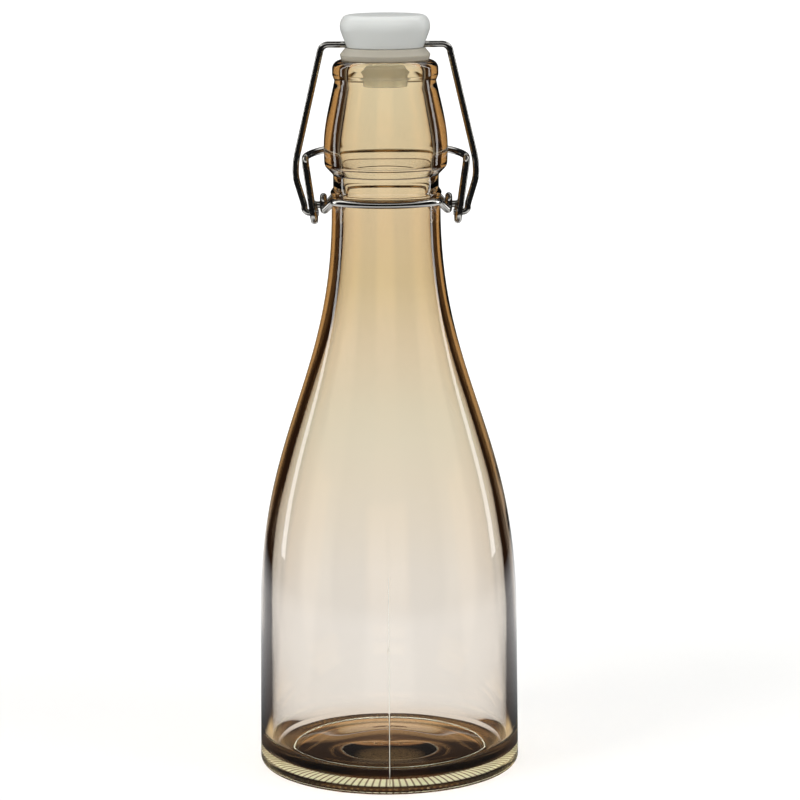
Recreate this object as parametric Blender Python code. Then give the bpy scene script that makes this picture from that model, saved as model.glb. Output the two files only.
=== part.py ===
# Swing-top glass bottle: a tinted glass bottle with a sprung wire closure.
# Frame: metres, +Z up, origin at the centre of the base on the resting plane,
# front of the bottle towards -Y, the two pivots of the closure on the X sides.
# The closure is modelled shut, with its handle raised behind the bottle's finish.

import math

import bmesh
import bpy
from mathutils import Vector

MM = 0.001

# General fits
RUNNING_GAP = 0.30 * MM             # between pieces that touch or turn on each other
ROUND_STEPS = 40                    # facets round the glass and the stopper
ARC_STEP = math.radians(30)         # largest turn between two points of a fillet
WIRE_STEP = math.radians(20)        # the same in a small bend of wire
WIRE_ARC_STEP = math.radians(9)     # the same in a wide bend of wire
CURVE_STEPS = 11                    # points along the shoulder's curve

# Glass, outer shape
BODY_RADIUS = 39.25 * MM
BODY_TOP_RADIUS = 38.65 * MM        # the side draws in a little towards the shoulder
BODY_TOP_HEIGHT = 45.3 * MM
HEEL_FILLET = 2.0 * MM
FOOT_WIDTH = 5.2 * MM               # flat ring that the bottle rests on
PUNT_DEPTH = 3.0 * MM               # hollow under the base
SHOULDER_LENGTH = 123.5 * MM        # from the side's top up to the neck ring
SHOULDER_TOP_REACH = 52.0 * MM      # how far down the neck holds its direction
SHOULDER_LOW_REACH = 57.0 * MM      # how far up the side holds its direction
NECK_RADIUS = 16.1 * MM
BEAD_RISE = 4.7 * MM                # bead that keeps the neck ring down, above the shoulder
BEAD_RADIUS = 16.5 * MM
BEAD_THICKNESS = 2.6 * MM
BEAD_FILLET = 0.9 * MM
UPPER_NECK_RADIUS = 15.6 * MM
BULGE_FOOT_RISE = 9.9 * MM          # these four levels are above the shoulder too
BULGE_FOOT_FILLET = 2.6 * MM
BULGE_ROOT_FILLET = 1.0 * MM
BULGE_TAPER = 0.2 * MM              # how much the bulge draws in at its foot
BULGE_RADIUS = 18.3 * MM
BULGE_RISE = 17.0 * MM              # level of the bulge's widest point
BULGE_REACH = 7.0 * MM              # how far up the bulge holds its direction
GROOVE_RADIUS = 14.95 * MM
GROOVE_RISE = 37.5 * MM
GROOVE_REACH = 9.0 * MM             # how far down the groove's slope holds
GROOVE_FLARE = 2.0 * MM
LIP_RADIUS = 15.6 * MM
LIP_THICKNESS = 4.3 * MM
LIP_TOP_RISE = 43.5 * MM
LIP_FILLET = 2.6 * MM
LIP_FOOT_FILLET = 0.9 * MM

# Glass, inner shape
MOUTH_RADIUS = 11.0 * MM
MOUTH_DEPTH = 9.0 * MM              # straight part of the mouth
NECK_WALL = 3.2 * MM
BULGE_WALL = 4.4 * MM
BODY_WALL = 3.0 * MM
BORE_FILLET = 12.0 * MM
FLOOR_THICKNESS = 3.5 * MM          # over the middle of the punt
FLOOR_FILLET = 6.9 * MM
FLOOR_DOME = 2.8 * MM               # rise of the inner floor over the punt

# Wires
RING_WIRE = 2.1 * MM
LEVER_WIRE = 2.1 * MM
BAIL_WIRE = 1.9 * MM
WIRE_SIDES = 8
BEND_FULLNESS = 0.98                # share of a full bend's corner that is round

# Closure pivots, measured from the neck ring
RING_DROP = 2.1 * MM                # ring's wire below the bead
PIVOT_DROP = 1.7 * MM               # lever pivot below the ring's own level
EAR_REACH = 2.1 * MM                # outer face of the ear outside the ring's circle
EAR_HALF_LENGTH = 8.0 * MM          # where the ear leaves the circle, along Y
EAR_LEG_DROP = 1.2 * MM             # foot of the ear's arch below the lever pivot
EAR_RUN = 2.2 * MM                  # level run from the arch's foot
EAR_RUN_LEAN = 0.4 * MM             # the run's end leans towards the neck
EAR_FILLET = 1.2 * MM
CRANK = 2.4 * MM                    # bail pin below the lever pivot
OVER_CENTRE = 0.4 * MM              # bail pin behind the lever pivot when shut

# Lever
EYE_RADIUS = 2.4 * MM               # centre line of the eye round the bail pin
EYE_FILLET = 1.15 * MM              # bends from the eye into the lever's pin
EYE_REACH = 3.75 * MM               # centre of the eye outside the ring's circle
LEVER_REACH = 6.4 * MM              # handle corner outside the ring's circle
LEVER_CORNER_FILLET = 2.4 * MM
HANDLE_RISE = 13.8 * MM             # handle corner above the lever pivot
HANDLE_TILT = math.radians(5)
HANDLE_GAP = 0.5 * MM               # handle behind the bulge when shut
LEG_DRAW = 1.5 * MM                 # the leg draws in below the handle corner
LEG_DRAW_RISE = 3.4 * MM            # to this level above the lever pivot
LEG_FILLET = 8.0 * MM
LEVER_PIN_LENGTH = 4.4 * MM

# Bail
BAR_RISE = 0.9 * MM                 # bail bar's centre above the foot of the cap
BAIL_CORNER_REACH = 4.9 * MM        # bail's upper corner outside the cap
BAIL_CORNER_FILLET = 2.4 * MM
BAIL_SIDE_GAP = 0.75 * MM           # between the bail's widest part and the lever's corner
BAIL_WIDE_RISE = 12.6 * MM          # level where the leg stops widening, above the pivot
BAIL_WIDE_FILLET = 20.0 * MM
BAIL_DRAW_RISE = 8.0 * MM           # level where it draws in to the hook, above the pivot
BAIL_DRAW_FILLET = 10.0 * MM
BAIL_HOOK_RISE = 2.3 * MM           # hook's upper bend above the bail pin
BAIL_HOOK_FILLET = 4.0 * MM
BAIL_HOOK_EASE = 0.65 * MM          # the hook stands this much further out beside the eye
BAIL_PIN_FILLET = 1.5 * MM
BAIL_PIN_PROUD = 0.25 * MM           # pin's end past the eye

# Stopper and gasket
CAP_HEIGHT = 9.6 * MM
CAP_TOP_RADIUS = 12.0 * MM
CAP_TOP_FILLET = 2.4 * MM
CAP_RADIUS = 13.7 * MM
CAP_RIM_DROP = 3.0 * MM             # widest point below the cap's top
CAP_RIM_FILLET = 4.4 * MM
CAP_FOOT_RADIUS = 11.2 * MM
CAP_FOOT_FILLET = 0.5 * MM
GASKET_THICKNESS = 3.0 * MM
GASKET_RADIUS = 13.3 * MM
GASKET_TOP_RADIUS = 11.7 * MM
GASKET_RIM_RISE = 1.35 * MM         # level of the widest point above its foot
GASKET_FOOT_DRAW = 0.4 * MM
GASKET_FILLET = 0.4 * MM
GASKET_BORE_RADIUS = 7.4 * MM
PLUG_CONE_GAP = 1.7 * MM            # between the plug's rim and the mouth
PLUG_RIM_THICKNESS = 0.9 * MM
PLUG_RIM_FILLET = 0.4 * MM
PLUG_CONE_DEPTH = 4.6 * MM          # below the lip
PLUG_TAPER = 2.85 * MM              # how much the plug's end is smaller than its rim
PLUG_DEPTH = 8.2 * MM               # below the lip
PLUG_FILLET = 0.7 * MM

# Worked-out places
SHOULDER_TOP = BODY_TOP_HEIGHT + SHOULDER_LENGTH
BEAD_HEIGHT = SHOULDER_TOP + BEAD_RISE
BULGE_FOOT_HEIGHT = SHOULDER_TOP + BULGE_FOOT_RISE
BULGE_HEIGHT = SHOULDER_TOP + BULGE_RISE
GROOVE_HEIGHT = SHOULDER_TOP + GROOVE_RISE
LIP_TOP_HEIGHT = SHOULDER_TOP + LIP_TOP_RISE
RING_HEIGHT = BEAD_HEIGHT - RING_DROP
GASKET_FOOT = LIP_TOP_HEIGHT + RUNNING_GAP
GASKET_TOP = GASKET_FOOT + GASKET_THICKNESS
CAP_FOOT = GASKET_TOP + RUNNING_GAP
CAP_TOP = CAP_FOOT + CAP_HEIGHT
BAR_HEIGHT = CAP_FOOT + BAR_RISE
PLUG_CONE_RADIUS = MOUTH_RADIUS - PLUG_CONE_GAP
PLUG_RADIUS = PLUG_CONE_RADIUS - PLUG_TAPER
RING_RADIUS = NECK_RADIUS + RUNNING_GAP + RING_WIRE / 2
PIVOT_HEIGHT = RING_HEIGHT - PIVOT_DROP
CRANK_HEIGHT = PIVOT_HEIGHT - CRANK
ARCH_RADIUS = (RING_WIRE + LEVER_WIRE) / 2 + RUNNING_GAP
EAR_RADIUS = RING_RADIUS + EAR_REACH - RING_WIRE / 2
EYE_X = RING_RADIUS + EYE_REACH
LEVER_X = RING_RADIUS + LEVER_REACH
BAIL_WIDE_X = LEVER_X + (LEVER_WIRE + BAIL_WIRE) / 2 + BAIL_SIDE_GAP


def clear_scene():
    for obj in list(bpy.data.objects):
        bpy.data.objects.remove(obj, do_unlink=True)


def make_material(name, colour, roughness, metallic=0.0, transmission=0.0):
    material = bpy.data.materials.new(name)
    material.use_nodes = True
    shader = material.node_tree.nodes["Principled BSDF"]
    shader.inputs["Base Color"].default_value = (*colour, 1.0)
    shader.inputs["Roughness"].default_value = roughness
    shader.inputs["Metallic"].default_value = metallic
    shader.inputs["Transmission Weight"].default_value = transmission
    return material


def rounded(corners, step=ARC_STEP):
    """Points of a path through corners given as (*place, fillet radius), each corner rounded."""
    places = [Vector(corner[:-1]) for corner in corners]
    points = [places[0]]
    for index in range(1, len(corners) - 1):
        corner, radius = places[index], corners[index][-1]
        inward = (places[index - 1] - corner).normalized()
        outward = (places[index + 1] - corner).normalized()
        half = inward.angle(outward) / 2
        turn = math.pi - 2 * half
        if radius <= 0 or turn < 1e-4:
            points.append(corner)
            continue
        bisector = (inward + outward).normalized()
        centre = corner + bisector * (radius / math.sin(half))
        first = corner + inward * (radius / math.tan(half)) - centre
        last = corner + outward * (radius / math.tan(half)) - centre
        count = max(2, math.ceil(turn / step))
        for k in range(count + 1):
            share = k / count
            blend = (first * math.sin((1 - share) * turn) + last * math.sin(share * turn))
            points.append(centre + blend / math.sin(turn))
    points.append(places[-1])
    return points


def bezier(start, start_handle, end_handle, end, count):
    """Points along a cubic curve, both ends included."""
    points = []
    for k in range(count + 1):
        t = k / count
        s = 1 - t
        points.append(
            Vector(start) * s ** 3
            + Vector(start_handle) * 3 * s * s * t
            + Vector(end_handle) * 3 * s * t * t
            + Vector(end) * t ** 3
        )
    return points


def turned(name, outline, material):
    """Solid of revolution about Z from an outline of (radius, height) points, top to bottom."""
    bm = bmesh.new()
    verts = [bm.verts.new((point[0], 0.0, point[1])) for point in outline]
    edges = [bm.edges.new(pair) for pair in zip(verts, verts[1:])]
    if outline[0][0] > 0 or outline[-1][0] > 0:
        edges.append(bm.edges.new((verts[-1], verts[0])))
    bmesh.ops.spin(
        bm, geom=verts + edges, axis=(0, 0, 1), cent=(0, 0, 0),
        angle=2 * math.pi, steps=ROUND_STEPS, use_merge=True,
    )
    bmesh.ops.remove_doubles(bm, verts=bm.verts, dist=1e-6)
    bmesh.ops.recalc_face_normals(bm, faces=bm.faces)
    mesh = bpy.data.meshes.new(name)
    bm.to_mesh(mesh)
    bm.free()
    mesh.shade_smooth()
    mesh.set_sharp_from_angle(angle=math.radians(35))
    mesh.materials.append(material)
    obj = bpy.data.objects.new(name, mesh)
    bpy.context.collection.objects.link(obj)
    return obj


def bent_wire(name, points, diameter, material, origin, closed=False):
    """A round wire along points, with its object's origin on the joint axis."""
    curve = bpy.data.curves.new(name, "CURVE")
    curve.dimensions = "3D"
    curve.bevel_depth = diameter / 2
    curve.bevel_resolution = WIRE_SIDES // 2 - 2
    curve.use_fill_caps = not closed
    spline = curve.splines.new("POLY")
    spline.points.add(len(points) - 1)
    for target, place in zip(spline.points, points):
        target.co = (*(Vector(place) - origin), 1.0)
    spline.use_cyclic_u = closed
    curve.materials.append(material)
    obj = bpy.data.objects.new(name, curve)
    obj.location = origin
    bpy.context.collection.objects.link(obj)
    return obj


def mirrored_both_ways(half):
    """A whole path from its half on +X, which starts on the plane of symmetry."""
    left = [Vector((-point.x, point.y, point.z)) for point in reversed(half[1:])]
    return left + list(half)


def bottle_outline():
    """Outer side from the lip down to the base, then the inner side up to the mouth."""
    lip = rounded([
        (MOUTH_RADIUS, LIP_TOP_HEIGHT, 0),
        (LIP_RADIUS, LIP_TOP_HEIGHT, LIP_FILLET),
        (LIP_RADIUS, LIP_TOP_HEIGHT - LIP_THICKNESS, LIP_FOOT_FILLET),
        (GROOVE_RADIUS, GROOVE_HEIGHT, 0),
    ])
    bulge_top = bezier(
        (GROOVE_RADIUS, GROOVE_HEIGHT),
        (GROOVE_RADIUS + GROOVE_FLARE, GROOVE_HEIGHT - GROOVE_REACH),
        (BULGE_RADIUS, BULGE_HEIGHT + BULGE_REACH),
        (BULGE_RADIUS, BULGE_HEIGHT),
        CURVE_STEPS // 2,
    )
    neck = rounded([
        (BULGE_RADIUS, BULGE_HEIGHT, 0),
        (BULGE_RADIUS - BULGE_TAPER, BULGE_FOOT_HEIGHT + BULGE_FOOT_FILLET, BULGE_FOOT_FILLET),
        (UPPER_NECK_RADIUS, BULGE_FOOT_HEIGHT, BULGE_ROOT_FILLET),
        (UPPER_NECK_RADIUS, BEAD_HEIGHT + BEAD_THICKNESS / 2, 0),
        (BEAD_RADIUS, BEAD_HEIGHT, BEAD_FILLET),
        (NECK_RADIUS, BEAD_HEIGHT - BEAD_THICKNESS / 2, 0),
    ])
    shoulder = bezier(
        (NECK_RADIUS, SHOULDER_TOP),
        (NECK_RADIUS, SHOULDER_TOP - SHOULDER_TOP_REACH),
        (BODY_TOP_RADIUS, BODY_TOP_HEIGHT + SHOULDER_LOW_REACH),
        (BODY_TOP_RADIUS, BODY_TOP_HEIGHT),
        CURVE_STEPS,
    )
    side = rounded([
        (BODY_TOP_RADIUS, BODY_TOP_HEIGHT, 0),
        (BODY_RADIUS, 0.0, HEEL_FILLET),
        (BODY_RADIUS - HEEL_FILLET - FOOT_WIDTH, 0.0, 0),
    ])
    punt_radius = BODY_RADIUS - HEEL_FILLET - FOOT_WIDTH
    punt = bezier(
        (punt_radius, 0.0), (punt_radius, PUNT_DEPTH / 2),
        (punt_radius / 2, PUNT_DEPTH), (0.0, PUNT_DEPTH),
        CURVE_STEPS // 2,
    )
    floor_middle = PUNT_DEPTH + FLOOR_THICKNESS
    floor_rim = floor_middle - FLOOR_DOME
    dome_radius = BODY_RADIUS - BODY_WALL - FLOOR_FILLET - RUNNING_GAP
    dome = bezier(
        (0.0, floor_middle), (dome_radius / 2, floor_middle),
        (dome_radius / 2, floor_rim), (dome_radius, floor_rim),
        CURVE_STEPS // 2,
    )
    inner_side = rounded([
        (dome_radius, floor_rim, 0),
        (BODY_RADIUS - BODY_WALL, floor_rim, FLOOR_FILLET),
        (BODY_TOP_RADIUS - BODY_WALL, BODY_TOP_HEIGHT, 0),
    ])
    inner_shoulder = bezier(
        (BODY_TOP_RADIUS - BODY_WALL, BODY_TOP_HEIGHT),
        (BODY_TOP_RADIUS - BODY_WALL, BODY_TOP_HEIGHT + SHOULDER_LOW_REACH),
        (NECK_RADIUS - NECK_WALL, SHOULDER_TOP - SHOULDER_TOP_REACH),
        (NECK_RADIUS - NECK_WALL, SHOULDER_TOP),
        CURVE_STEPS,
    )
    bore = rounded([
        (NECK_RADIUS - NECK_WALL, SHOULDER_TOP, 0),
        (NECK_RADIUS - NECK_WALL, BULGE_FOOT_HEIGHT, BORE_FILLET),
        (BULGE_RADIUS - BULGE_WALL, BULGE_HEIGHT, BORE_FILLET),
        (MOUTH_RADIUS, LIP_TOP_HEIGHT - MOUTH_DEPTH, BORE_FILLET),
        (MOUTH_RADIUS, LIP_TOP_HEIGHT, 0),
    ])
    outer = lip + bulge_top[1:] + neck[1:] + shoulder + side[1:] + punt[1:]
    inner = dome + inner_side[1:] + inner_shoulder[1:] + bore[1:-1]
    return outer + inner


def make_bottle():
    glass = make_material("tinted_glass", (0.62, 0.49, 0.34), 0.03, transmission=1.0)
    return turned("glass_bottle", bottle_outline(), glass)


def cut_bar_hole(cap):
    """Cross-hole of the cap for the bail's bar."""
    hole = bmesh.new()
    bmesh.ops.create_cone(
        hole, cap_ends=True, segments=2 * WIRE_SIDES,
        radius1=BAIL_WIRE / 2 + RUNNING_GAP, radius2=BAIL_WIRE / 2 + RUNNING_GAP,
        depth=4 * CAP_RADIUS,
    )
    mesh = bpy.data.meshes.new("bar_hole")
    hole.to_mesh(mesh)
    hole.free()
    cutter = bpy.data.objects.new("bar_hole", mesh)
    cutter.rotation_euler = (0, math.pi / 2, 0)
    cutter.location = (0, 0, BAR_HEIGHT)
    cutter.hide_render = True
    cutter.display_type = "WIRE"
    bpy.context.collection.objects.link(cutter)
    cut = cap.modifiers.new("bar_hole", "BOOLEAN")
    cut.operation = "DIFFERENCE"
    cut.object = cutter


def make_stopper():
    """Moulded stopper: the cap, its neck inside the gasket, and the plug in the mouth."""
    plastic = make_material("white_polypropylene", (0.86, 0.87, 0.86), 0.32)
    neck = GASKET_BORE_RADIUS - RUNNING_GAP
    plug_top = GASKET_FOOT - RUNNING_GAP
    outline = rounded([
        (0.0, CAP_TOP, 0),
        (CAP_TOP_RADIUS, CAP_TOP, CAP_TOP_FILLET),
        (CAP_RADIUS, CAP_TOP - CAP_RIM_DROP, CAP_RIM_FILLET),
        (CAP_FOOT_RADIUS, CAP_FOOT, CAP_FOOT_FILLET),
        (neck, CAP_FOOT, 0),
        (neck, plug_top, 0),
        (PLUG_CONE_RADIUS, plug_top, PLUG_RIM_FILLET),
        (PLUG_CONE_RADIUS, plug_top - PLUG_RIM_THICKNESS, PLUG_RIM_FILLET),
        (PLUG_RADIUS, LIP_TOP_HEIGHT - PLUG_CONE_DEPTH, PLUG_FILLET),
        (PLUG_RADIUS, LIP_TOP_HEIGHT - PLUG_DEPTH, PLUG_FILLET),
        (0.0, LIP_TOP_HEIGHT - PLUG_DEPTH, 0),
    ])
    stopper = turned("stopper", outline, plastic)
    cut_bar_hole(stopper)
    return stopper


def make_gasket():
    """Soft sealing washer between the cap and the lip."""
    silicone = make_material("clear_silicone", (0.80, 0.80, 0.79), 0.4)
    outline = rounded([
        (GASKET_BORE_RADIUS, GASKET_TOP, 0),
        (GASKET_TOP_RADIUS, GASKET_TOP, GASKET_FILLET),
        (GASKET_RADIUS, GASKET_FOOT + GASKET_RIM_RISE, GASKET_FILLET),
        (GASKET_RADIUS - GASKET_FOOT_DRAW, GASKET_FOOT, GASKET_FILLET),
        (GASKET_BORE_RADIUS, GASKET_FOOT, 0),
    ])
    return turned("gasket", outline, silicone)


def ear_half(joins):
    """Half of the ring's right ear, from the middle of its arch to its joint with the circle."""
    foot = PIVOT_HEIGHT - EAR_LEG_DROP
    run_x = EAR_RADIUS - EAR_RUN_LEAN
    circle = (RING_RADIUS * math.cos(joins), -EAR_HALF_LENGTH, RING_HEIGHT)
    return rounded([
        (EAR_RADIUS, 0.0, PIVOT_HEIGHT + ARCH_RADIUS, 0),
        (EAR_RADIUS, -ARCH_RADIUS, PIVOT_HEIGHT + ARCH_RADIUS, ARCH_RADIUS * BEND_FULLNESS),
        (EAR_RADIUS, -ARCH_RADIUS, foot, EAR_FILLET),
        (run_x, -ARCH_RADIUS - EAR_RUN, foot, EAR_FILLET),
        (*circle, 0),
    ], step=WIRE_STEP)


def make_neck_ring(steel):
    """Wire collar round the neck, with an ear over each pin of the lever."""
    joins = math.asin(EAR_HALF_LENGTH / RING_RADIUS)
    ear = ear_half(joins)
    sweep = math.pi / 2 - joins
    count = math.ceil(sweep / WIRE_ARC_STEP)
    front = []
    for k in range(1, count):
        angle = -joins - sweep * k / count
        front.append(Vector((RING_RADIUS * math.cos(angle), RING_RADIUS * math.sin(angle), RING_HEIGHT)))
    quarter = ear[1:] + front
    right = [Vector((p.x, -p.y, p.z)) for p in reversed(quarter)] + [ear[0]] + quarter
    left = [Vector((-p.x, -p.y, p.z)) for p in right]
    front_middle = Vector((0.0, -RING_RADIUS, RING_HEIGHT))
    back_middle = Vector((0.0, RING_RADIUS, RING_HEIGHT))
    path = right + [front_middle] + left + [back_middle]
    return bent_wire("neck_ring", path, RING_WIRE, steel, Vector((0, 0, RING_HEIGHT)), closed=True)


def lever_half():
    """Right half of the lever, from the middle of the handle to the end of its pin."""
    corner_height = PIVOT_HEIGHT + HANDLE_RISE
    handle_back = BULGE_RADIUS + HANDLE_GAP + LEVER_WIRE / 2
    leg_y = OVER_CENTRE - EYE_RADIUS
    eye_back = OVER_CENTRE + EYE_RADIUS
    eye_foot = CRANK_HEIGHT - EYE_RADIUS
    handle = []
    count = math.ceil(math.pi / 2 / WIRE_ARC_STEP)
    for k in range(count):
        angle = math.pi / 2 * (1 - k / count)
        away = (handle_back - leg_y) * math.sin(angle)
        height = corner_height + away * math.tan(HANDLE_TILT)
        handle.append(Vector((LEVER_X * math.cos(angle), leg_y + away, height)))
    leg = rounded([
        (*handle[-1], 0),
        (LEVER_X, leg_y, corner_height, LEVER_CORNER_FILLET),
        (LEVER_X - LEG_DRAW, leg_y, PIVOT_HEIGHT + LEG_DRAW_RISE, LEG_FILLET),
        (EYE_X, leg_y, eye_foot, EYE_RADIUS * BEND_FULLNESS),
        (EYE_X, eye_back, eye_foot, EYE_RADIUS * BEND_FULLNESS),
        (EYE_X, eye_back, PIVOT_HEIGHT, EYE_FILLET),
        (EYE_X, 0.0, PIVOT_HEIGHT, EYE_FILLET),
        (EYE_X - LEVER_PIN_LENGTH, 0.0, PIVOT_HEIGHT, 0),
    ], step=WIRE_STEP)
    return handle[:-1] + leg


def make_lever(steel):
    """Lever wire: the handle behind the bulge, a leg and an eye on each side, and its two pins."""
    path = mirrored_both_ways(lever_half())
    return bent_wire("lever", path, LEVER_WIRE, steel, Vector((0, 0, PIVOT_HEIGHT)))


def bail_half():
    """Right half of the bail, from the middle of its bar to the end of its pin."""
    hook_x = EYE_X + (BAIL_WIRE + LEVER_WIRE) / 2 + RUNNING_GAP + BAIL_HOOK_EASE
    pin_end = EYE_X - LEVER_WIRE / 2 - BAIL_PIN_PROUD

    def place(x, z, radius):
        lean = (BAR_HEIGHT - z) / (BAR_HEIGHT - CRANK_HEIGHT)
        return (x, OVER_CENTRE * lean, z, radius)

    return rounded([
        place(0.0, BAR_HEIGHT, 0),
        place(CAP_RADIUS + BAIL_CORNER_REACH, BAR_HEIGHT, BAIL_CORNER_FILLET),
        place(BAIL_WIDE_X, PIVOT_HEIGHT + BAIL_WIDE_RISE, BAIL_WIDE_FILLET),
        place(BAIL_WIDE_X, PIVOT_HEIGHT + BAIL_DRAW_RISE, BAIL_DRAW_FILLET),
        place(hook_x, CRANK_HEIGHT + BAIL_HOOK_RISE, BAIL_HOOK_FILLET),
        place(hook_x, CRANK_HEIGHT, BAIL_PIN_FILLET),
        place(pin_end, CRANK_HEIGHT, 0),
    ], step=WIRE_STEP)


def make_bail(steel):
    """Bail wire: its bar through the cap, a sprung leg on each side, and pins in the lever's eyes."""
    path = mirrored_both_ways(bail_half())
    origin = Vector((0, OVER_CENTRE, CRANK_HEIGHT))
    return bent_wire("stopper_bail", path, BAIL_WIRE, steel, origin)


def main():
    clear_scene()
    steel = make_material("polished_steel_wire", (0.62, 0.61, 0.58), 0.16, metallic=1.0)
    make_bottle()
    make_stopper()
    make_gasket()
    make_neck_ring(steel)
    make_lever(steel)
    make_bail(steel)


main()
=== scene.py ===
import math

import bmesh
import bpy
from mathutils import Matrix, Vector, noise


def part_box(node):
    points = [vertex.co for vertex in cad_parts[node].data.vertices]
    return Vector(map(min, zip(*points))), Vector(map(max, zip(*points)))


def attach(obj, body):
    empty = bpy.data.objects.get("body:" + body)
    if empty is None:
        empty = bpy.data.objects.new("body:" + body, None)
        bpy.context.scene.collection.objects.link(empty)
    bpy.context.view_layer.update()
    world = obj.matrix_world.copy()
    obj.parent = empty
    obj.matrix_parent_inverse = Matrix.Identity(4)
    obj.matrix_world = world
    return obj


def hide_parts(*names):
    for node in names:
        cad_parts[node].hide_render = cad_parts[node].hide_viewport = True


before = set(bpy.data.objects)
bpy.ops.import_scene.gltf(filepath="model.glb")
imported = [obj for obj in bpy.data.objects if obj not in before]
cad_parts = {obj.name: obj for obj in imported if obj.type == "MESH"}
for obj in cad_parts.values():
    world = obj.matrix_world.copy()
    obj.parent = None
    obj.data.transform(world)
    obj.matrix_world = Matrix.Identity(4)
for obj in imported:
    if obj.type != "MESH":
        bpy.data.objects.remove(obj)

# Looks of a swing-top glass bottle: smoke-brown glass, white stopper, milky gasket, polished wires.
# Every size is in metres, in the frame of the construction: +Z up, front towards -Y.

MM = 0.001
GAP = 0.30 * MM                     # room that neighbouring pieces keep
MERGE = 1e-6                        # points this close together are one
STRAIGHT = 1e-4                     # a turn smaller than this is none
SHARP = math.radians(40)            # edges that turn more than this stay crisp
BEND_STEP = math.radians(9)         # turn from point to point round a bend
BORE_STEP = math.radians(3)
TURNED_STEPS = 128                  # points round the stopper and the gasket

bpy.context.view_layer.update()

# Glass, outer shape
LIP_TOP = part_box("glass_bottle")[1].z
BODY_RADIUS = 39.15 * MM            # leaves room for the seam inside the part's own width
BODY_TOP_RADIUS = 38.65 * MM
BODY_TOP_HEIGHT = 45.3 * MM
HEEL_FILLET = 2.0 * MM
FOOT_WIDTH = 5.2 * MM
FOOT_OUTER = BODY_RADIUS - HEEL_FILLET
FOOT_INNER = FOOT_OUTER - FOOT_WIDTH
PUNT_DEPTH = 3.0 * MM
SHOULDER_TOP = LIP_TOP - 43.5 * MM
SHOULDER_TOP_REACH = 52.0 * MM
SHOULDER_LOW_REACH = 57.0 * MM
SHOULDER_STEPS = 36
NECK_RADIUS = 16.1 * MM
BEAD_HEIGHT = SHOULDER_TOP + 4.7 * MM
BEAD_RADIUS = 16.5 * MM
BEAD_THICKNESS = 2.6 * MM
BEAD_FILLET = 0.9 * MM
UPPER_NECK_RADIUS = 15.6 * MM
BULGE_FOOT_HEIGHT = SHOULDER_TOP + 9.9 * MM
BULGE_FOOT_FILLET = 2.6 * MM
BULGE_ROOT_FILLET = 1.0 * MM
BULGE_TAPER = 0.2 * MM
BULGE_RADIUS = 18.3 * MM
BULGE_HEIGHT = SHOULDER_TOP + 17.0 * MM
BULGE_REACH = 7.0 * MM
BULGE_STEPS = 16
GROOVE_RADIUS = 14.95 * MM
GROOVE_HEIGHT = SHOULDER_TOP + 37.5 * MM
GROOVE_REACH = 9.0 * MM
GROOVE_FLARE = 2.0 * MM
LIP_RADIUS = 15.6 * MM
LIP_THICKNESS = 4.3 * MM
LIP_FILLET = 2.6 * MM
LIP_FOOT_FILLET = 0.9 * MM
LIP_FLAT = 0.6 * MM                 # level part of the lip beside the mouth

# Glass, inner shape
MOUTH_RADIUS = 11.0 * MM
MOUTH_DEPTH = 9.0 * MM
NECK_WALL = 3.2 * MM
BULGE_WALL = 4.4 * MM
BODY_WALL = 3.0 * MM
BORE_FILLET = 12.0 * MM
INNER_SHOULDER_STEPS = 28
FLOOR_THICKNESS = 3.5 * MM
FLOOR_FILLET = 6.9 * MM
FLOOR_DOME = 2.8 * MM
FLOOR_STEPS = 12
FLOOR_MIDDLE = PUNT_DEPTH + FLOOR_THICKNESS
FLOOR_RIM = FLOOR_MIDDLE - FLOOR_DOME
DOME_RADIUS = BODY_RADIUS - BODY_WALL - FLOOR_FILLET - GAP

# Glass, fine detail
SEAM_HEIGHT = 0.12 * MM             # mould seam, up the front and the back
SEAM_HALF_WIDTH = 0.14 * MM
SEAM_CREST = 0.01 * MM              # points this near to the parting plane are drawn out
SEAM_START = 4.0 * MM               # lowest height at which it is drawn out
SEAM_FOOT = 4.5 * MM
SEAM_FADE_HEIGHT = BODY_TOP_HEIGHT + 20 * MM
SEAM_TRACE = 0.3                    # share of its height that is left above that
SEAM_CORE = 0.05 * MM               # its painted highlight, a white line, fades out between these two
SEAM_EDGE = 0.16 * MM
SEAM_DEPTH = 1.5 * MM               # and doesn't reach the inner wall
SEAM_HIGHLIGHT_STOPS = ((0.004, 0.0), (0.006, 0.75), (0.055, 0.6), (0.075, 0.0))  # how strong its painted highlight is, by height in m
RIM_LINE_WIDTH = 0.5 * MM           # fine raised line round the floor
RIM_LINE_HEIGHT = 0.25 * MM
RIM_LINE_RADIUS = DOME_RADIUS + RIM_LINE_WIDTH / 2
RIM_LINE_CORE = 0.1 * MM            # its painted highlight fades out between these two
RIM_LINE_EDGE = 0.3 * MM
# strength of the painted highlight on that line
RIM_LINE_HIGHLIGHT = 0.35
# colour of the painted highlight on the seam and on the line round the floor
LINE_HIGHLIGHT_COLOUR = "#FFF4E4"
KNURLS = 112                        # short bars moulded across the foot
KNURL_DEPTH = 0.45 * MM
STEPS_PER_KNURL = 4
FOOT_SLACK = 0.1 * MM               # a point this near to the foot belongs to it
STIPPLE_TOP = 2.4 * MM              # stippled ring under the base
STIPPLE_STOPS = ((0.58, 0.0), (0.60, 1.0), (0.74, 1.0), (0.76, 0.0))    # by share of the body's radius
STIPPLE_BARS = 96                   # short bars, about 1.7 mm apart
BAR_START = -0.9                    # of a cosine: where the gap between two bars ends
BAR_FULL = -0.3
BAR_GAP_LEVEL = 0.25
PAINTED_GLINT_START = 0.46                  # Layer Weight's Facing at which the painted glint on the stipple begins
PAINTED_GLINT_FULL = 0.56
STIPPLE_COLOUR = "#EBFFF5"
FACING = 0.3                        # cosine from which a wall counts as facing out, or in
WALL_WAVE = 0.22 * MM               # the blown inner wall is not quite even
WAVES_ROUND = 1.3
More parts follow.
